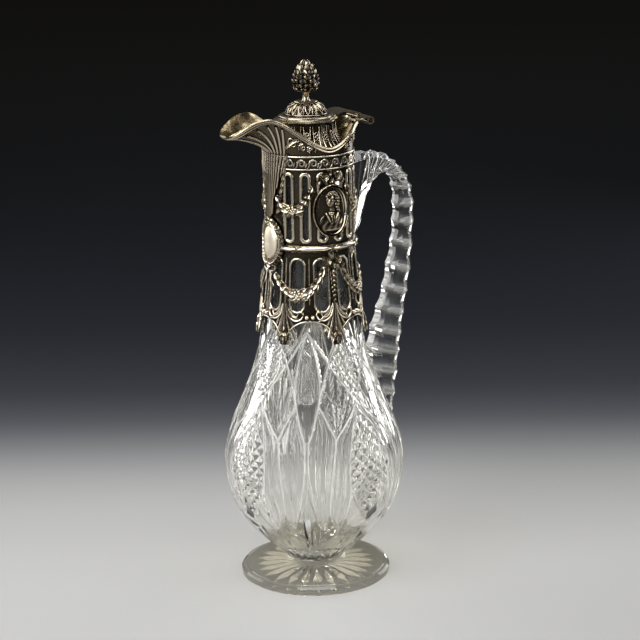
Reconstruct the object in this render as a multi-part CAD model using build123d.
from build123d import *

import math
import os
from functools import lru_cache

# A cut-glass claret jug with a pierced silver mount and a hinged silver lid.
# Millimetres. +Z is up, the spout points to -X and the handle to +X. The origin is the centre of
# the foot's underside. Turns are in degrees round the axis: 0 is the spout, 90 the -Y side.

# ---- glass: foot, body and handle ----
footRadius = 50.3
footEdgeHeight = 6.0
footHeight = 14.0
footEdgeRound = 2.4
footCollarRadius = 19.0
stemRadius = 22.5
starRayCount = 24
starRayStart = 7.5
starRayReach = 39.5
starRayWidth = 6.8
starRayDepth = 2.6
starTurn = 8.1

bellyRadius = 60.0
bellyHeight = 84.0
shoulderRadius = 34.4
shoulderHeight = 166.0
neckRadius = 27.3
neckStraightFrom = 232.0
neckTop = 289.0
neckFlarePower = 1.25
neckFlareSteps = 10
bowlWall = 5.0
neckWall = 3.6
bowlFloorThickness = 9.0
baseFluteCount = 24
cutRepeats = 4
cutTurn = 56.9
mitreWidth = 2.4
mitreDepth = 1.4
baseFluteRadius = 4.2
baseFluteTop = 43.0

handleReach = 77.1
handleCrown = 284.8
handlePadLow = 226.0
handleWidth = 16.0
handleFootHeight = 104.0
handleChamfer = 4.0
handleNotch = 1.1

# ---- silver mount ----
mountGap = 0.2
sheetThickness = 0.9
frameThickness = 0.7
ornamentThickness = 2.0
lowerTierLow = 184.0
bandLow = 228.0
bandHeight = 4.5
bandOuterRadius = 31.9
upperTierTop = 281.5
friezeHeight = 9.5
windowCount = 12
windowHeight = 36.5
windowWidth = 11.4
windowLow = 188.0
windowFrameWidth = 1.1
slotCount = 16
slotHeight = 46.5
slotWidth = 8.2
slotFrameWidth = 2.0
palmetteCount = 6
skirtLow = 167.4
skirtArchTop = 183.0
palmetteTop = 192.0
scrollBallRadius = 1.5
scrollBallHeight = 186.0
friezeScrollCount = 24
bandTieCount = 8

medallionHeight = 255.0
medallionHalfWidth = 12.5
medallionHalfHeight = 17.5
medallionFrameWidth = 2.2
cartoucheHeight = 232.3
cartoucheHalfWidth = 9.6
cartoucheHalfHeight = 11.3
cartoucheDome = 2.6
wreathWidth = 4.4
bouquetDrop = 5.5
bouquetSpread = 4.2
lowerBouquetDrop = 7.5
lowerBouquetSpread = 4.6
garlandDrop = 5.0
garlandSag = 15.0
garlandWidth = 4.6
lowerGarlandDrop = 4.5
lowerGarlandSag = 14.5
lowerGarlandWidth = 5.0
huskPitch = 4.4

# ---- collar, spout and lid ----
collarWall = 1.0
collarBaseRadius = 28.8
spoutReach = 61.5
spoutHalfWidth = 18.4
spoutTipHeight = 303.8
rimShoulderHeight = 314.8
rimDipHeight = 295.5
hingeRise = 2.2
rimBeadHeight = 3.2
rimBeadProud = 1.1
seatThickness = 1.2
spoutShoulderX = 38.0
heelReach = 39.5
heelHalfWidth = 11.5
collarFacets = 96
bridgeThickness = 1.4
rearRollRadius = 2.7
rearSheet = 1.2

hingeX = 34.5
hingeHeight = 309.8
knuckleRadius = 2.1
hingePinRadius = 1.0
hingeWidth = 14.0
lidKnuckleWidth = 5.8
runningClearance = 0.04
sideClearance = 0.3

lidCentreX = -1.5
lidSkirtRadius = 26.0
lidSkirtTopRadius = 18.4
lidSheet = 0.9
lidRimApothem = 19.9
lidRimThickness = 2.4
lidStepApothem = 16.9
lidStepThickness = 1.4
lidDomeRadius = 13.4
lidDomeHeight = 7.4
finialPlateRadius = 6.8
finialPlateThickness = 1.0
finialNeckRadius = 1.9
finialNeckHeight = 6.0
finialRodRadius = 1.1
finialNutRadius = 2.6
finialNutThickness = 1.8
coneRadius = 8.4
coneHeight = 21.5
coneRows = 7
coneSides = 9

# ---- worked out from the sizes above ----
sheetOut = mountGap + sheetThickness
frameOut = sheetOut + frameThickness
ornamentOut = frameOut + ornamentThickness
bandTop = bandLow + bandHeight
friezeTop = upperTierTop + friezeHeight
seatTop = friezeTop + seatThickness
lidSkirtLow = seatTop + sideClearance
rimBackHeight = hingeHeight - hingeRise
lidRimHeight = hingeHeight
lidRimTop = lidRimHeight + lidRimThickness
lidStepTop = lidRimTop + lidStepThickness
lidDomeTop = lidStepTop + lidDomeHeight
finialPlateTop = lidDomeTop + finialPlateThickness
coneLow = finialPlateTop + finialNeckHeight
bouquetHeight = upperTierTop - bouquetDrop
lowerBouquetHeight = bandLow - lowerBouquetDrop


def neckRadiusAt(height):
    """Outside radius of the glass neck, which flares in short cones down to the shoulder."""
    steps = max(0.0, neckStraightFrom - height) / (neckStraightFrom - shoulderHeight) * neckFlareSteps
    whole = math.floor(steps)
    near, far = ((step / neckFlareSteps) ** neckFlarePower for step in (whole, whole + 1))
    return neckRadius + (shoulderRadius - neckRadius) * (near + (far - near) * (steps - whole))


def turned(turn):
    """Unit vector out from the axis at a turn."""
    angle = math.radians(turn)
    return Vector(-math.cos(angle), -math.sin(angle), 0)


def facing(turn, height, radius=0.0):
    """A plane that faces outward at a turn, with its local Y straight up."""
    out = turned(turn)
    across = Vector(0, 0, 1).cross(out)
    return Plane(origin=out * radius + Vector(0, 0, height), x_dir=across, z_dir=out)


def outward(shape, turn, height, reach=60.0):
    """A flat shape carried out from the axis at a turn, to cut or bound a piece of the mount."""
    return extrude(facing(turn, height) * shape, amount=reach, dir=turned(turn))


def neckEdges(grow, low, high):
    """The neck's outside line, moved out by grow, from low up to high."""
    edges = []
    bend = min(high, neckStraightFrom)
    if low < bend:
        flare = neckStraightFrom - shoulderHeight
        joints = [shoulderHeight + flare * i / neckFlareSteps for i in range(neckFlareSteps + 1)]
        heights = [low] + [z for z in joints if low + 0.001 < z < bend - 0.001] + [bend]
        edges.append(Polyline(*[(neckRadiusAt(z) + grow, 0, z) for z in heights]))
    if high > neckStraightFrom:
        start = max(low, neckStraightFrom)
        edges.append(Line((neckRadius + grow, 0, start), (neckRadius + grow, 0, high)))
    return edges


@lru_cache(maxsize=None)
def neckShell(inner, outer, low, high):
    """A sleeve between two offsets of the neck's outside."""
    edges = neckEdges(inner, low, high) + neckEdges(outer, low, high)
    for z in (low, high):
        edges.append(Line((neckRadiusAt(z) + inner, 0, z), (neckRadiusAt(z) + outer, 0, z)))
    return revolve(make_face(edges), Axis.Z)


def relief(shape, turn, height, inner=frameOut, outer=ornamentOut, low=skirtLow, high=friezeTop):
    """A flat shape wrapped on the mount as a raised piece between two offsets."""
    return outward(shape, turn, height) & neckShell(inner, outer, low, high)


def neckCore(grow, low=skirtLow, high=friezeTop):
    """Everything inside an offset of the neck, which seats applied pieces."""
    return neckShell(-neckWall, grow, low, high)


def ring(*corners):
    """A turned ring from the corners (radius, height) of its section."""
    points = [(radius, 0, height) for radius, height in corners]
    return revolve(make_face(Polyline(*points, close=True)), Axis.Z)


def hoop(loops, closed=True):
    """A solid of flat facets through matching loops of points, joined round or capped."""
    triangles = []
    count = len(loops)
    for i in range(count if closed else count - 1):
        near, far = loops[i], loops[(i + 1) % count]
        for j in range(len(near)):
            k = (j + 1) % len(near)
            triangles.append((near[j], near[k], far[k]))
            triangles.append((near[j], far[k], far[j]))
    if not closed:
        for loop in (loops[0], loops[-1]):
            triangles += [(loop[0], loop[j], loop[j + 1]) for j in range(1, len(loop) - 1)]
    return Solid(Shell([Face(Wire.make_polygon(corners)) for corners in triangles]))


def group(shapes):
    """Many separate solids as one node."""
    return Compound(children=[solid for shape in shapes for solid in shape.solids()])


def capsule(width, height):
    """A tall slot shape."""
    return SlotOverall(height, width, rotation=90)


# ---- glass ----

def bowlLines(grow, low):
    """Control points (radius, height) of the bowl's two outside curves, below and above its belly."""
    r0, r1, r2 = stemRadius + grow, bellyRadius + grow, shoulderRadius + grow
    rise, fall = bellyHeight - low, shoulderHeight - bellyHeight
    spread = bellyRadius - stemRadius
    waist = bellyRadius - shoulderRadius
    lower = ((r0, low), (r0 + 0.5 * spread, low + 0.385 * rise),
             (r1, low + 0.465 * rise), (r1, bellyHeight))
    upper = ((r1, bellyHeight), (r1, bellyHeight + 0.26 * fall),
             (r2 + 0.195 * waist, shoulderHeight - 0.404 * fall), (r2, shoulderHeight))
    return lower, upper


def bodyOutline(grow, low, top):
    """Closed half section of the body's outside, moved out by grow, from low up to top."""
    lower, upper = [Bezier(*[(radius, 0, height) for radius, height in line])
                    for line in bowlLines(grow, low)]
    neck = neckEdges(grow, shoulderHeight, top)
    end = neckRadiusAt(top) + grow
    sides = [Line((0, 0, low), (stemRadius + grow, 0, low)), Line((end, 0, top), (0, 0, top)),
             Line((0, 0, top), (0, 0, low))]
    return make_face([lower, upper, *neck, *sides])


def bodySolid(grow, low, top):
    """The whole outside as a solid, its seam on an almond's axis, where no cut crosses it."""
    return Rot(0, 0, cutTurn) * revolve(bodyOutline(grow, low, top), Axis.Z)


def bowlRadiusAt(height):
    """Outside radius of the bowl between its widest place and the shoulder, or just below it."""
    def along(line, t):
        weights = ((1 - t) ** 3, 3 * t * (1 - t) ** 2, 3 * t * t * (1 - t), t ** 3)
        return [sum(w * point[k] for w, point in zip(weights, line)) for k in (0, 1)]
    line = bowlLines(0, footHeight)[height > bellyHeight]
    low, high = 0.0, 1.0
    for _ in range(30):
        middle = (low + high) / 2
        low, high = (middle, high) if along(line, middle)[1] < height else (low, middle)
    return along(line, low)[0]


def mitre(side, points):
    """A wheel cut over the bowl through three points, each an angle from the almond and a height."""
    angles, heights = zip(*points)
    middle = (max(angles) + min(angles)) / 2
    low, high = min(heights), max(heights)

    def across(z):
        angle = sum(points[i][0] * math.prod((z - heights[j]) / (heights[i] - heights[j])
                                             for j in range(3) if j != i) for i in range(3))
        return bowlRadiusAt(z) * math.sin(math.radians(angle - middle))

    left, right = [], []
    steps = 5
    for i in range(steps + 1):
        z = low + (high - low) * i / steps
        half = mitreWidth / 2 * math.hypot(1, across(z + 0.5) - across(z - 0.5))
        left.append((side * (across(z) - half), z))
        right.append((side * (across(z) + half), z))
    band = make_face(Polyline(*left, *reversed(right), close=True))
    return bowlSkin() & outward(band, cutTurn + side * middle, 0, 2 * bellyRadius)


@lru_cache(maxsize=None)
def bowlSkin():
    """The outer part of the bowl's wall that the wheel cuts into."""
    return bodySolid(0, footHeight, neckTop) - bodySolid(-mitreDepth, footHeight, neckTop)


def mitres():
    """Crossing arcs over the bowl, the sides of the tall almonds and the lancets between them."""
    half = 180 / cutRepeats
    top, crossing, foot = shoulderHeight + 10, bellyHeight + 46, bellyHeight - 34
    arcs = (((2.8, top), (22.5, top - 21), (half, crossing)),
            ((half, top), (22.5, top - 21), (9.5, crossing)),
            ((half, crossing), (half - 16.5, bellyHeight), (half, foot)),
            ((21, crossing - 21), (16.5, bellyHeight), (14.0, foot + 6)),
            ((2.4, crossing - 22), (3.4, bellyHeight - 10), (8.0, foot + 2)))
    cuts = [mitre(side, points) for points in arcs for side in (-1, 1)]
    return [Rot(0, 0, 360 * i / cutRepeats) * cut for i in range(cutRepeats) for cut in cuts]


def glassBody():
    outside = bodySolid(0, footHeight, neckTop)
    inside = bodySolid(-bowlWall, footHeight + bowlFloorThickness, shoulderHeight)
    bore = ring((0, shoulderHeight), (shoulderRadius - bowlWall, shoulderHeight),
                (neckRadius - neckWall, neckStraightFrom), (neckRadius - neckWall, neckTop),
                (0, neckTop))
    flutes = []
    for i in range(baseFluteCount):
        turn = 360 * i / baseFluteCount
        foot = turned(turn) * (stemRadius + baseFluteRadius * 0.7) + Vector(0, 0, footHeight)
        end = turned(turn) * (bellyRadius * 0.83 + baseFluteRadius) + Vector(0, 0, baseFluteTop)
        way = end - foot
        flutes.append(Plane(origin=foot - way * 0.1, z_dir=way)
                      * Cylinder(baseFluteRadius, way.length * 1.1,
                                 align=(Align.CENTER, Align.CENTER, Align.MIN)))
    return outside - inside - bore - flutes - mitres()


def glassFoot():
    disc = revolve(make_face([
        Line((0, 0, 0), (footRadius - footEdgeRound, 0, 0)),
        ThreePointArc((footRadius - footEdgeRound, 0, 0), (footRadius, 0, footEdgeHeight / 2),
                      (footRadius - footEdgeRound, 0, footEdgeHeight)),
        Bezier((footRadius - footEdgeRound, 0, footEdgeHeight),
               ((footRadius + footCollarRadius) / 2, 0, footEdgeHeight + 2.5),
               (footCollarRadius, 0, footHeight - 4.5), (stemRadius, 0, footHeight)),
        Line((stemRadius, 0, footHeight), (0, 0, footHeight)),
        Line((0, 0, footHeight), (0, 0, 0))]), Axis.Z)
    widest = starRayStart + 0.78 * (starRayReach - starRayStart)
    rays = []
    for i in range(starRayCount):
        frame = Plane(origin=(0, 0, 0), x_dir=turned(starTurn + 360 * i / starRayCount), z_dir=(0, 0, -1))
        corners = [(starRayStart, 0), (widest, starRayWidth / 2), (starRayReach, 0),
                   (widest, -starRayWidth / 2)]
        mouth = make_face(Polyline(*corners, close=True))
        cut = extrude(frame * mouth, amount=-starRayDepth, taper=48)
        rays.append(cut)
    return disc - rays


def handleStations():
    """Matching points down the inside and outside of the handle, in the XZ plane."""
    neck, reach, top, belly = neckRadius - 2.0, handleReach, handleCrown, bellyRadius
    pad = handlePadLow
    onPad = [((neck, pad), (neck, top - 5.8)), ((neck + 6.0, pad + 2.5), (neck + 6.0, top - 3.3)),
             ((neck + 11.4, pad + 5.0), (neck + 11.2, top - 1.8))]
    arch = [((36.5, 44.2), (35.0, 0.5)), ((33.6, 31.8), (28.9, 0.0)), ((31.1, 22.3), (22.1, 2.0)),
            ((27.1, 17.0), (14.5, 7.5)), ((21.6, 14.7), (10.1, 12.0)), ((17.3, 17.3), (5.6, 17.8)),
            ((14.5, 24.8), (2.1, 25.8)), ((13.3, 35.8), (0.0, 35.8)), ((13.5, 47.8), (0.5, 49.8)),
            ((15.0, 63.1), (1.5, 65.8)), ((18.5, 77.8), (3.1, 82.8)), ((21.6, 93.8), (5.8, 97.8))]
    arch = [((reach - a, top - b), (reach - c, top - d)) for (a, b), (c, d) in arch]
    foot = handleFootHeight
    tail = [((-9.0, 74.0), (8.7, 69.0)), ((-14.0, 61.0), (6.8, 56.0)), ((-17.0, 48.0), (5.3, 43.0)),
            ((-16.0, 34.0), (3.5, 29.0)), ((-11.0, 16.0), (1.8, 14.0)), ((-6.0, 2.0), (0.3, 0.0))]
    tail = [((belly + a, foot + b), (belly + c, foot + d)) for (a, b), (c, d) in tail]
    return onPad + arch + tail


def handleSection(inner, outer, width, notch):
    """Eight corners of a section from an inside point to an outside point, cut back by notch."""
    inside, outside = Vector(inner[0], 0, inner[1]), Vector(outer[0], 0, outer[1])
    depth = (outside - inside).length
    across, middle = (outside - inside).normalized(), (inside + outside) / 2
    x, y = width / 2 - notch, depth / 2 - notch
    flatX, flatY = width * 0.24, depth / 2 - min(handleChamfer, depth * 0.3)
    corners = [(flatX, -y), (x, -flatY), (x, flatY), (flatX, y),
               (-flatX, y), (-x, flatY), (-x, -flatY), (-flatX, -y)]
    return [middle + Vector(0, along, 0) + across * out for along, out in corners]


def glassHandle():
    stations = handleStations()
    firstCut, lastCut = 4, len(stations) - 4
    sections = []
    for i, (inner, outer) in enumerate(stations):
        widen = max(0.0, 1 - i / firstCut)
        narrow = max(0.0, (i - lastCut) / (len(stations) - 1 - lastCut))
        width = handleWidth * (1 + 0.25 * widen) * (1 - 0.45 * narrow)
        sections.append(handleSection(inner, outer, width, 0.0))
        if firstCut <= i < lastCut:
            nextInner, nextOuter = stations[i + 1]
            middle = [[(p + q) / 2 for p, q in zip(*pair)]
                      for pair in ((inner, nextInner), (outer, nextOuter))]
            sections.append(handleSection(*middle, width, handleNotch))
    return hoop(sections, closed=False) - bodySolid(0, footHeight, neckTop)


# ---- silver mount on the neck ----

def handleClearance():
    """The room that the mount leaves for the handle's pad."""
    width = handleWidth * 1.25 + 2 * sideClearance
    low, high = handlePadLow - sideClearance, handleCrown
    return Pos(neckRadius / 2, 0, low) * Box(neckRadius, width, high - low, align=Align.MIN) \
        .moved(Location((0, -width / 2, 0)))


def slotTurns():
    """Turns of the upper slots, without those behind the front leaf and those at the handle."""
    pitch = 360 / slotCount
    turns = [90 + pitch * (i + 0.5) for i in range(slotCount)]
    return [turn for turn in turns
            if math.cos(math.radians(turn)) < 0.95 and math.cos(math.radians(turn)) > -0.95]


def windowTurns():
    pitch = 360 / windowCount
    return [90 + pitch * (i + 0.5) for i in range(windowCount)]


def lowerSleeve():
    sheet = neckShell(mountGap, sheetOut, lowerTierLow, bandLow)
    opening = capsule(windowWidth - 2 * windowFrameWidth, windowHeight - 2 * windowFrameWidth)
    middle = windowLow + windowHeight / 2
    return sheet - [outward(opening, turn, middle) for turn in windowTurns()] - handleClearance()


def windowFrames():
    shape = capsule(windowWidth, windowHeight)
    shape -= capsule(windowWidth - 2 * windowFrameWidth, windowHeight - 2 * windowFrameWidth)
    middle = windowLow + windowHeight / 2
    return group([relief(shape, turn, middle, sheetOut, frameOut) for turn in windowTurns()])


def upperSleeve():
    sheet = neckShell(mountGap, sheetOut, bandTop, upperTierTop)
    opening = capsule(slotWidth - 2 * slotFrameWidth, slotHeight - 2 * slotFrameWidth)
    middle = (bandTop + upperTierTop) / 2
    cuts = [outward(opening, turn, middle) for turn in slotTurns()]
    return sheet - cuts - handleClearance()


def slotFrames():
    shape = capsule(slotWidth, slotHeight)
    shape -= capsule(slotWidth - 2 * slotFrameWidth, slotHeight - 2 * slotFrameWidth)
    middle = (bandTop + upperTierTop) / 2
    return group([relief(shape, turn, middle, sheetOut, frameOut) for turn in slotTurns()])


def midBand():
    middle = (bandLow + bandTop) / 2
    core = neckShell(mountGap, sheetOut, bandLow, bandTop)
    inner = neckRadius + sheetOut
    reeds = ring((inner, bandLow), (bandOuterRadius - 0.9, bandLow), (bandOuterRadius, bandLow + 0.9),
                 (bandOuterRadius, middle - 0.3), (bandOuterRadius - 0.5, middle),
                 (bandOuterRadius, middle + 0.3), (bandOuterRadius, bandTop - 0.9),
                 (bandOuterRadius - 0.9, bandTop), (inner, bandTop))
    front = Ellipse(cartoucheHalfWidth + wreathWidth, cartoucheHalfHeight + wreathWidth)
    band = core + (reeds - outward(front, 0, cartoucheHeight))
    return band - handleClearance()


def bandTies():
    width = 4.0
    ties = []
    for i in range(bandTieCount):
        turn = 45 + 360 * i / bandTieCount + 360 / bandTieCount / 2
        if abs(math.cos(math.radians(turn))) > 0.9:
            continue
        strap = outward(Rectangle(width, bandHeight), turn, (bandLow + bandTop) / 2)
        ties.append(strap & ring((bandOuterRadius, bandLow), (bandOuterRadius + 0.6, bandLow),
                                 (bandOuterRadius + 0.6, bandTop), (bandOuterRadius, bandTop)))
    return group(ties)


def scrollFrieze():
    outer = neckRadius + frameOut
    bed = neckRadius + mountGap + sheetThickness
    return ring((bed, upperTierTop), (outer, upperTierTop), (outer, friezeTop), (bed, friezeTop)) \
        - handleClearance()


def friezeScrolls():
    """The running scroll that stands on the frieze, one curl to each pitch."""
    size = friezeHeight * 0.36
    curl = Circle(size) - Pos(size * 0.25, -size * 0.1) * Circle(size * 0.52)
    foot = Pos(-size * 1.2, -size * 0.6) * Rectangle(size * 1.3, size * 0.5)
    shapes = []
    for i in range(friezeScrollCount):
        turn = 360 * (i + 0.5) / friezeScrollCount
        if math.cos(math.radians(turn)) < 0.7 and math.cos(math.radians(turn)) > -0.9:
            shapes.append(relief(curl + foot, turn, upperTierTop + friezeHeight * 0.45, frameOut,
                                 frameOut + frameThickness))
    return group(shapes)


def beddingRing():
    """Plaster bed between the glass lip and the frieze."""
    return ring((neckRadius, upperTierTop + 0.3), (neckRadius + sheetOut, upperTierTop + 0.3),
                (neckRadius + sheetOut, neckTop), (neckRadius, neckTop)) - handleClearance()


def leafSkirt():
    """The sheet below the windows, arched up between the leaves."""
    sheet = neckShell(mountGap, sheetOut, skirtLow, lowerTierLow)
    pitch = 360 / palmetteCount
    halfWidth = shoulderRadius * math.sin(math.radians(pitch * 0.44))
    arch = Ellipse(halfWidth, skirtArchTop - skirtLow)
    return sheet - [outward(arch, 90 + pitch * (i + 0.5), skirtLow) for i in range(palmetteCount)]


@lru_cache(maxsize=None)
def palmettes():
    """Fans of fluted leaf that stand on the skirt."""
    base = skirtLow + 4.0
    leafLength = (palmetteTop - base) / 2
    fan = Pos(0, -1.0) * Ellipse(1.9, 3.6)
    for lean in (-52, -26, 0, 26, 52):
        half = leafLength * (1 - abs(lean) / 130)
        fan += Rot(0, 0, lean) * Pos(0, half) * Ellipse(1.6, half)
    pitch = 360 / palmetteCount
    return group([relief(fan, 90 + pitch * i, base + 2.0, frameOut, frameOut + frameThickness)
                  for i in range(palmetteCount)])


def cScrolls():
    """Open scrolls that spring from the leaves and meet between them."""
    size = 5.2
    curl = Circle(size) - Circle(size - 1.3)
    curl -= Pos(0, size) * Rectangle(4 * size, 2 * size)
    pitch = 360 / palmetteCount
    shapes = []
    for i in range(palmetteCount):
        for side in (-1, 1):
            turn = 90 + pitch * (i + 0.5) + side * pitch * 0.18
            shapes.append(relief(curl, turn, scrollBallHeight + 2.0, frameOut,
                                 frameOut + frameThickness))
    return group([shape - palmettes() - scrollBalls() for shape in shapes])


@lru_cache(maxsize=None)
def scrollBalls():
    pitch = 360 / palmetteCount
    reach = neckRadiusAt(scrollBallHeight) + frameOut + scrollBallRadius
    balls = []
    for i in range(palmetteCount):
        for side in (-1, 1):
            turn = 90 + pitch * (i + 0.5) + side * 3.4
            centre = turned(turn) * reach + Vector(0, 0, scrollBallHeight)
            balls.append(Pos(*centre) * Sphere(scrollBallRadius))
    return group(balls)


# ---- applied ornament ----

def medallionFrame(turn):
    shape = Ellipse(medallionHalfWidth, medallionHalfHeight)
    shape -= Ellipse(medallionHalfWidth - medallionFrameWidth, medallionHalfHeight - medallionFrameWidth)
    return relief(shape, turn, medallionHeight)


def medallionPlaque(turn):
    shape = Ellipse(medallionHalfWidth - medallionFrameWidth, medallionHalfHeight - medallionFrameWidth)
    return relief(shape, turn, medallionHeight, frameOut, frameOut + frameThickness)


def medallionBust(turn):
    """A small plain head and shoulders in relief, seated on the plaque."""
    bed = neckRadius + frameOut + frameThickness
    plane = facing(turn, medallionHeight, bed)
    head = plane * Pos(0.3, 5.0, 0.4) * scale(Sphere(1), by=(3.3, 4.4, 2.0))
    curls = plane * Pos(0.9, 5.4, 0.1) * scale(Sphere(1), by=(4.9, 5.6, 1.3))
    neck = plane * Pos(0.4, -0.8, 0) * scale(Sphere(1), by=(2.1, 3.6, 1.4))
    coat = plane * Pos(0.2, -7.0, 0) * scale(Sphere(1), by=(7.2, 4.9, 1.7))
    return head + curls + neck + coat - neckCore(frameOut + frameThickness)


def blossoms(turn, height, spread):
    """A bunch of small flowers: buds round a larger one."""
    level = neckRadiusAt(height) + frameOut
    flowers = [Pos(0, 0) * Circle(2.4)]
    for x, y, size in ((-spread, -0.6, 2.1), (spread, -0.6, 2.1), (-spread * 0.55, 2.6, 1.6),
                       (spread * 0.55, 2.6, 1.6), (-spread * 1.7, -1.4, 1.5), (spread * 1.7, -1.4, 1.5)):
        flowers.append(Pos(x, y) * Circle(size))
    return relief(Sketch() + flowers, turn, height, level - neckRadiusAt(height), ornamentOut)


def swag(startTurn, startHeight, lowHeight, endTurn, endHeight, thickness):
    """A hanging garland between two points of the mount, thickest at its middle."""
    middle = (startTurn + endTurn) / 2
    level = neckRadiusAt(lowHeight) + frameOut
    ends = [(level * math.sin(math.radians(turn - middle)), height - lowHeight)
            for turn, height in ((startTurn, startHeight), (endTurn, endHeight))]
    upper, lower = [], []
    steps = 10
    for i in range(steps + 1):
        t = 2 * i / steps - 1
        x, y = ends[0] if t < 0 else ends[1]
        slope = 2 * abs(y * t / x)
        half = thickness / 2 * (1 - 0.4 * abs(t)) * math.hypot(1, slope * 0.7)
        upper.append((x * abs(t), y * t * t + half))
        lower.append((x * abs(t), y * t * t - half))
    return relief(make_face(Polyline(*upper, *reversed(lower), close=True)), middle, lowHeight)


def bothSides(build):
    """A piece on the -Y side and its twin on the +Y side."""
    return group([build(90), build(-90)])


def upperBouquets():
    return bothSides(lambda turn: blossoms(turn, bouquetHeight, bouquetSpread))


@lru_cache(maxsize=None)
def lowerBouquets():
    return bothSides(lambda turn: blossoms(turn, lowerBouquetHeight, lowerBouquetSpread))


def upperGarlands():
    swags = []
    top = bouquetHeight - garlandDrop
    for side in (1, -1):
        swags.append(swag(side * 70, top, top - garlandSag, side * 22, top - 7.0, garlandWidth))
        swags.append(swag(side * 110, top, top - garlandSag, side * 156, top - 9.0, garlandWidth))
    return group(swags)


def lowerGarlands():
    swags = []
    top = lowerBouquetHeight - lowerGarlandDrop
    for side in (1, -1):
        for near, far in ((72, 16), (108, 164)):
            hung = swag(side * near, top, top - lowerGarlandSag, side * far, top - 4.0, lowerGarlandWidth)
            swags.append(hung - lowerBouquets())
    return group(swags)


def huskDrops():
    """Strings of flowers that hang below the lower bunches."""
    shapes = []
    for turn in (90, -90):
        for i, size in enumerate((2.2, 2.4, 2.0, 1.6, 1.2)):
            height = lowerBouquetHeight - 7.5 - huskPitch * i
            shapes.append(relief(Ellipse(size, 2.1), turn, height) - palmettes())
    return group(shapes)


def frontCartouche():
    """Plain domed oval at the front of the mount."""
    bed, spread = neckRadius + frameOut, 1.12
    dome = facing(0, cartoucheHeight, bed) * scale(Sphere(1), by=(
        cartoucheHalfWidth * spread, cartoucheHalfHeight * spread, cartoucheDome + frameThickness))
    oval = outward(Ellipse(cartoucheHalfWidth, cartoucheHalfHeight), 0, cartoucheHeight)
    return (dome & oval) - neckCore(frameOut)


@lru_cache(maxsize=None)
def cartoucheWreath():
    shape = Ellipse(cartoucheHalfWidth + wreathWidth, cartoucheHalfHeight + wreathWidth)
    shape -= Ellipse(cartoucheHalfWidth, cartoucheHalfHeight)
    return relief(shape, 0, cartoucheHeight)


def wreathRibbon():
    """Bow and tails below the wreath."""
    height = cartoucheHeight - cartoucheHalfHeight - wreathWidth - 2.6
    bow = Circle(1.8)
    for side in (-1, 1):
        bow += Rot(0, 0, side * 25) * Pos(side * 4.2, 0) * Ellipse(3.6, 1.7)
        bow += Rot(0, 0, side * 28) * Pos(0, -5.0) * Rectangle(1.6, 9.0)
    return relief(bow, 0, height) - cartoucheWreath()


def spoutAcanthus():
    """The tall fluted leaf under the spout."""
    low = cartoucheHeight + cartoucheHalfHeight + wreathWidth
    height = friezeTop - low
    half = neckRadius * math.sin(math.radians(42))
    leaf = make_face([Spline([(-4.0, 0), (-6.0, height * 0.3), (-9.5, height * 0.65), (-half, height)]),
                      Line((-half, height), (half, height)),
                      Spline([(half, height), (9.5, height * 0.65), (6.0, height * 0.3), (4.0, 0)]),
                      Line((4.0, 0), (-4.0, 0))])
    return relief(leaf, 0, low, frameOut, frameOut + ornamentThickness * 0.6)


# ---- collar with spout ----

def lobe(along, side, reach, halfWidth):
    """How far a rounded tongue of a given reach and half width goes in one direction."""
    if along <= 0:
        return halfWidth * side
    return ((along / reach) ** 3 + (side / halfWidth) ** 3) ** (-1 / 3)


def rimRadius(turn):
    """Reach of the rim from the axis: round, with the spout in front and the heel behind."""
    along, side = math.cos(math.radians(turn)), abs(math.sin(math.radians(turn)))
    spout = lobe(along, side, spoutReach, spoutHalfWidth)
    heel = lobe(-along, side, heelReach, heelHalfWidth)
    return (collarBaseRadius ** 6 + spout ** 6 + heel ** 6) ** (1 / 6)


def rimHeight(x):
    """Side view of the rim: high along the spout, dipped beside the lid, level at the heel."""
    if x < -spoutShoulderX:
        t = min(1.0, (spoutReach + x) / (spoutReach - spoutShoulderX))
        return spoutTipHeight + (rimShoulderHeight - spoutTipHeight) * math.sin(math.pi / 2 * max(t, 0))
    if x < 0:
        t = -x / spoutShoulderX
        return rimDipHeight + (rimShoulderHeight - rimDipHeight) * t * t * (3 - 2 * t)
    t = min(1.0, x / (hingeX - knuckleRadius))
    return rimDipHeight + (rimBackHeight - rimDipHeight) * t * t * (3 - 2 * t)


def wallLine(turn, v):
    """A point of the collar's outside, from its foot at v = 0 to its rim at v = 1."""
    reach = rimRadius(turn)
    top = rimHeight(-reach * math.cos(math.radians(turn)))
    bendOut = collarBaseRadius + (reach - collarBaseRadius) * 0.2
    bendUp = friezeTop + (top - friezeTop) * 0.72
    a, b, c = (1 - v) ** 2, 2 * v * (1 - v), v * v
    radius = a * collarBaseRadius + b * bendOut + c * reach
    return turned(turn) * radius + Vector(0, 0, a * friezeTop + b * bendUp + c * top)


def wallPoint(turn, v, proud=0.0):
    """The same point moved out from the wall by proud, or into it where proud is negative."""
    around = wallLine(turn + 1, v) - wallLine(turn - 1, v)
    up = wallLine(turn, min(v + 0.02, 1)) - wallLine(turn, max(v - 0.02, 0))
    point = wallLine(turn, v) + around.cross(up).normalized() * proud
    if v == 0:
        point = Vector(point.X, point.Y, friezeTop)
    return point


def wallBelowRim(turn, distance):
    """The wall's v at a distance below the rim."""
    steps = 8
    stations = [wallLine(turn, i / steps) for i in range(steps + 1)]
    length = sum((q - p).length for p, q in zip(stations, stations[1:]))
    return max(0.0, 1 - distance / length)


@lru_cache(maxsize=None)
def spoutCollar():
    rows = 6
    loops = []
    for i in range(collarFacets):
        turn = 360 * i / collarFacets
        bead = wallBelowRim(turn, rimBeadHeight)
        levels = [bead * j / rows for j in range(rows + 1)] + [1]
        outside = [wallPoint(turn, v) for v in levels]
        inside = [wallPoint(turn, v, -collarWall) for v in reversed(levels)]
        loops.append(outside + inside)
    return hoop(loops)


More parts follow.
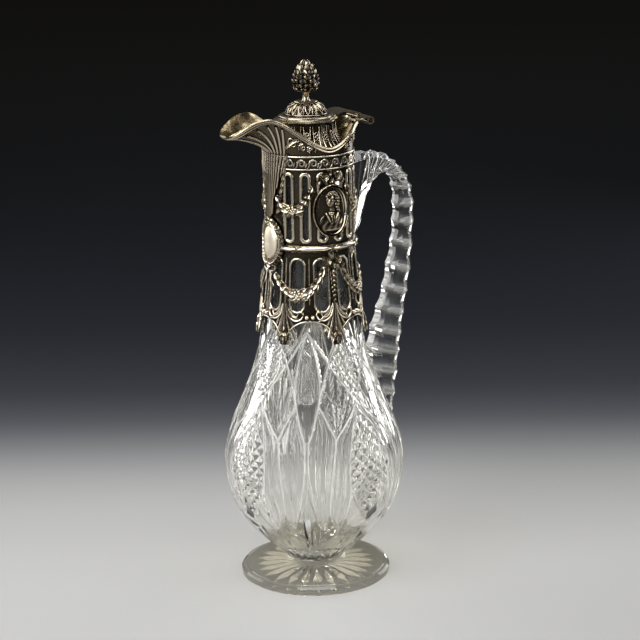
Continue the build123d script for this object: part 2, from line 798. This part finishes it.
def rimBand(turn, inner, outer, groove):
    """Section of the reeded bead at one turn: two reeds with a groove between them."""
    low = wallBelowRim(turn, rimBeadHeight)
    middle = (1 + low) / 2
    return [wallPoint(turn, 1, inner), wallPoint(turn, 1, outer), wallPoint(turn, middle, outer - groove),
            wallPoint(turn, low, outer), wallPoint(turn, low, inner)]


@lru_cache(maxsize=None)
def rimReeding():
    stop = round(158 / 360 * collarFacets)
    turns = [360 * i / collarFacets for i in range(-stop, stop + 1)]
    return hoop([rimBand(turn, 0, rimBeadProud, rimBeadProud * 0.45) for turn in turns], closed=False)


def rimTies():
    """Crossed ribbons that bind the reeded rim."""
    straps = []
    for middle in (32, 64, 117, -32, -64, -117):
        turns = [middle + offset for offset in (-3.0, -1.0, 1.0, 3.0)]
        straps.append(hoop([rimBand(turn, rimBeadProud, rimBeadProud + 0.5, 0) for turn in turns],
                           closed=False))
    return group(straps)


def lidSeat():
    """Ledge inside the collar, over the glass lip, that the lid's skirt closes on."""
    inner, outer = neckRadius - neckWall, collarBaseRadius - collarWall - mountGap
    return ring((inner, friezeTop), (outer, friezeTop), (outer, seatTop), (inner, seatTop))


def rearBridge():
    """The plate inside the heel that carries the hinge's ears."""
    low = rimBackHeight - bridgeThickness
    outline = []
    for turn in (158, 164, 170, 175, 180, 185, 190, 196, 202):
        v = 0.5
        for step in range(2, 16):
            v += 0.5 ** step * (1 if wallPoint(turn, v, -collarWall).Z < low else -1)
        edge = wallPoint(turn, v, -collarWall)
        outline.append((edge.X - 0.05, edge.Y * 0.99, low))
    front = hingeX - knuckleRadius - 0.6
    outline = [point for point in outline if point[0] > front]
    outline.append((front, outline[-1][1], low))
    outline.append((front, outline[0][1], low))
    plate = make_face(Polyline(*outline, close=True))
    return extrude(plate, amount=bridgeThickness, dir=(0, 0, 1))


def rearScroll():
    """Rolled heel behind the hinge, curling out and down."""
    start = hingeX + knuckleRadius + sideClearance
    x = heelReach + sideClearance + rearRollRadius
    top = rimBackHeight + rearSheet
    roll = Pos(x, 0, top - rearRollRadius) * Rot(90, 0, 0) * Cylinder(rearRollRadius, hingeWidth)
    bore = Pos(x, 0, top - rearRollRadius) * Rot(90, 0, 0) \
        * Cylinder(rearRollRadius - rearSheet, hingeWidth + 2)
    cheek = Pos((start + x) / 2, 0, top - rearSheet / 2) * Box(x - start, hingeWidth, rearSheet)
    return roll + cheek - bore - spoutCollar() - rimReeding()


def collarKnuckles():
    """Two hinge ears that stand on the bridge."""
    side = (hingeWidth - lidKnuckleWidth) / 2 - sideClearance
    ears = []
    for sign in (-1, 1):
        y = sign * (hingeWidth - side) / 2
        barrel = Pos(hingeX, y, hingeHeight) * Rot(90, 0, 0) * Cylinder(knuckleRadius, side)
        leg = Pos(hingeX, y, (hingeHeight + rimBackHeight) / 2) \
            * Box(knuckleRadius, side, hingeHeight - rimBackHeight)
        bore = Pos(hingeX, y, hingeHeight) * Rot(90, 0, 0) \
            * Cylinder(hingePinRadius + runningClearance, side + 1)
        ears.append(barrel + leg - bore)
    return group(ears)


def hingePin():
    return Pos(hingeX, 0, hingeHeight) * Rot(90, 0, 0) * Cylinder(hingePinRadius, hingeWidth + 1.2)


# ---- lid ----

def onLid(shape):
    return Pos(lidCentreX, 0, 0) * shape


def lidSkirt():
    """Thin bell that flares from under the rim down to the seat."""
    low, high = lidSkirtLow, lidRimHeight
    r0, r1 = lidSkirtRadius, lidSkirtTopRadius
    outer = Bezier((r0, 0, low), (r1 + 1.6, 0, low + 4.5), (r1, 0, high - 7.0), (r1, 0, high))
    inner = Bezier((r0 - lidSheet, 0, low), (r1 + 0.4, 0, low + 4.5),
                   (r1 - lidSheet, 0, high - 7.0), (r1 - lidSheet, 0, high))
    ends = [Line((r0 - lidSheet, 0, low), (r0, 0, low)), Line((r1 - lidSheet, 0, high), (r1, 0, high))]
    return onLid(revolve(make_face([outer, inner, *ends]), Axis.Z))


def octagon(apothem):
    return RegularPolygon(apothem, 8, major_radius=False, rotation=22.5)


def lidRim():
    inner = lidDomeRadius - lidSheet
    lower = extrude(Plane.XY.offset(lidRimHeight) * octagon(lidRimApothem), amount=lidRimThickness)
    upper = extrude(Plane.XY.offset(lidRimTop) * octagon(lidStepApothem), amount=lidStepThickness)
    hole = Pos(0, 0, (lidRimHeight + lidStepTop) / 2) * Cylinder(inner, 10)
    return onLid(lower + upper - hole)


def lidDome():
    high = lidDomeHeight
    low = lidStepTop
    r0, r1 = lidDomeRadius, finialPlateRadius - 1.2
    outer = Bezier((r0, 0, low), (r0 - 0.8, 0, low + high * 0.75), (r1 + 2.0, 0, low + high),
                   (r1, 0, low + high))
    inner = Bezier((r0 - lidSheet, 0, low), (r0 - 1.6, 0, low + high * 0.68),
                   (r1 + 1.5, 0, low + high - lidSheet), (r1, 0, low + high - lidSheet))
    hole = finialRodRadius + runningClearance
    edges = [Line((r0 - lidSheet, 0, low), (r0, 0, low)), Line((r1, 0, low + high), (hole, 0, low + high)),
             Line((hole, 0, low + high), (hole, 0, low + high - lidSheet)),
             Line((hole, 0, low + high - lidSheet), (r1, 0, low + high - lidSheet))]
    return onLid(revolve(make_face([outer, inner, *edges]), Axis.Z))


def finialPlate():
    plate = extrude(Plane.XY.offset(lidDomeTop) * octagon(finialPlateRadius), amount=finialPlateThickness)
    hole = Pos(0, 0, lidDomeTop) * Cylinder(finialRodRadius + runningClearance, 4)
    return onLid(plate - hole)


def finialStem():
    """Turned neck under the cone, with the rod that passes down through plate and dome."""
    r, wide = finialNeckRadius, finialNeckRadius + 1.3
    z0, z1 = finialPlateTop, coneLow
    neck = revolve(make_face([
        Line((0, 0, z0), (wide, 0, z0)),
        Spline([(wide, 0, z0), (r, 0, z0 + (z1 - z0) * 0.45), (wide - 0.3, 0, z1)]),
        Line((wide - 0.3, 0, z1), (0, 0, z1)), Line((0, 0, z1), (0, 0, z0))]), Axis.Z)
    low = lidDomeTop - lidSheet - finialNutThickness - 1.0
    rod = Pos(0, 0, (low + z0) / 2) * Cylinder(finialRodRadius, z0 - low)
    return onLid(neck + rod)


def finialNut():
    top = lidDomeTop - lidSheet
    nut = extrude(Plane.XY.offset(top - finialNutThickness) * RegularPolygon(finialNutRadius, 6),
                  amount=finialNutThickness)
    return onLid(nut - Pos(0, 0, top) * Cylinder(finialRodRadius + runningClearance, 8))


def pineconeFinial():
    """Rows of lapped scales, each row turned half a scale from the one below."""
    rows = []
    step = coneHeight / coneRows
    for i in range(coneRows):
        t = (i + 0.5) / coneRows
        radius = coneRadius * math.sin(math.pi * min(1.0, 0.12 + 0.88 * t) ** 0.72) ** 0.62
        radius = max(radius, coneRadius * 0.3)
        low = coneLow + step * i
        half = 180 / coneSides * (i % 2)
        wide = Plane.XY.offset(low) * RegularPolygon(radius * 0.93, coneSides, rotation=half)
        lip = Plane.XY.offset(low + step * 0.45) * RegularPolygon(radius, coneSides, rotation=half)
        rows.append(loft([wide, lip]))
        close = Plane.XY.offset(low + step) * RegularPolygon(radius * 0.88, coneSides, rotation=half)
        rows.append(loft([lip, close]))
    return onLid(Part() + rows)


def hingeTongue():
    """Arched strip from the lid's rim to its hinge knuckle."""
    y = hingeWidth / 2
    start = lidCentreX + lidRimApothem - 3.0
    edge = lidCentreX + lidRimApothem
    stop = hingeX - knuckleRadius - 0.8
    crest = (start + stop) / 2 + 0.6
    arch = make_face([
        ThreePointArc((start, 0, lidRimTop + 0.7), (crest, 0, lidRimTop + 2.6),
                      (stop, 0, hingeHeight + knuckleRadius)),
        Line((stop, 0, hingeHeight + knuckleRadius), (stop, 0, hingeHeight + 0.5)),
        ThreePointArc((stop, 0, hingeHeight + 0.5), (crest, 0, lidRimTop + 1.3), (edge, 0, lidRimTop)),
        Line((edge, 0, lidRimTop), (start, 0, lidRimTop)),
        Line((start, 0, lidRimTop), (start, 0, lidRimTop + 0.7))])
    strip = extrude(arch, amount=y, both=True)
    barrel = Pos(hingeX, 0, hingeHeight) * Rot(90, 0, 0) * Cylinder(knuckleRadius, lidKnuckleWidth)
    link = Pos((stop + hingeX) / 2, 0, hingeHeight + knuckleRadius / 2 + 0.25) \
        * Box(hingeX - stop, lidKnuckleWidth, knuckleRadius - 0.5)
    bore = Pos(hingeX, 0, hingeHeight) * Rot(90, 0, 0) \
        * Cylinder(hingePinRadius + runningClearance, lidKnuckleWidth + 1)
    return strip + link + barrel - bore - lidStepClear()


def lidStepClear():
    """The lid's upper step, which the tongue butts against."""
    step = extrude(Plane.XY.offset(lidRimTop) * octagon(lidStepApothem), amount=lidStepThickness)
    return onLid(step)


nodes = {
    "glass_body": glassBody,
    "glass_foot": glassFoot,
    "glass_handle": glassHandle,
    "bedding_ring": beddingRing,
    "lower_sleeve": lowerSleeve,
    "window_frames": windowFrames,
    "leaf_skirt": leafSkirt,
    "palmettes": palmettes,
    "c_scrolls": cScrolls,
    "scroll_balls": scrollBalls,
    "mid_band": midBand,
    "band_ties": bandTies,
    "upper_sleeve": upperSleeve,
    "slot_frames": slotFrames,
    "scroll_frieze": scrollFrieze,
    "frieze_scrolls": friezeScrolls,
    "medallion_frame_left": lambda: medallionFrame(90),
    "medallion_frame_right": lambda: medallionFrame(-90),
    "medallion_plaque_left": lambda: medallionPlaque(90),
    "medallion_plaque_right": lambda: medallionPlaque(-90),
    "medallion_bust_left": lambda: medallionBust(90),
    "medallion_bust_right": lambda: medallionBust(-90),
    "upper_bouquets": upperBouquets,
    "lower_bouquets": lowerBouquets,
    "upper_garlands": upperGarlands,
    "lower_garlands": lowerGarlands,
    "husk_drops": huskDrops,
    "front_cartouche": frontCartouche,
    "cartouche_wreath": cartoucheWreath,
    "wreath_ribbon": wreathRibbon,
    "spout_acanthus": spoutAcanthus,
    "spout_collar": spoutCollar,
    "rim_reeding": rimReeding,
    "rim_ties": rimTies,
    "lid_seat": lidSeat,
    "rear_scroll": rearScroll,
    "rear_bridge": rearBridge,
    "collar_knuckles": collarKnuckles,
    "hinge_pin": hingePin,
    "hinge_tongue": hingeTongue,
    "lid_skirt": lidSkirt,
    "lid_rim": lidRim,
    "lid_dome": lidDome,
    "finial_plate": finialPlate,
    "finial_stem": finialStem,
    "finial_nut": finialNut,
    "pinecone_finial": pineconeFinial,
}

os.makedirs("parts", exist_ok=True)
for name, build in nodes.items():
    export_step(build(), f"parts/{name}.step")
    print("built", name)
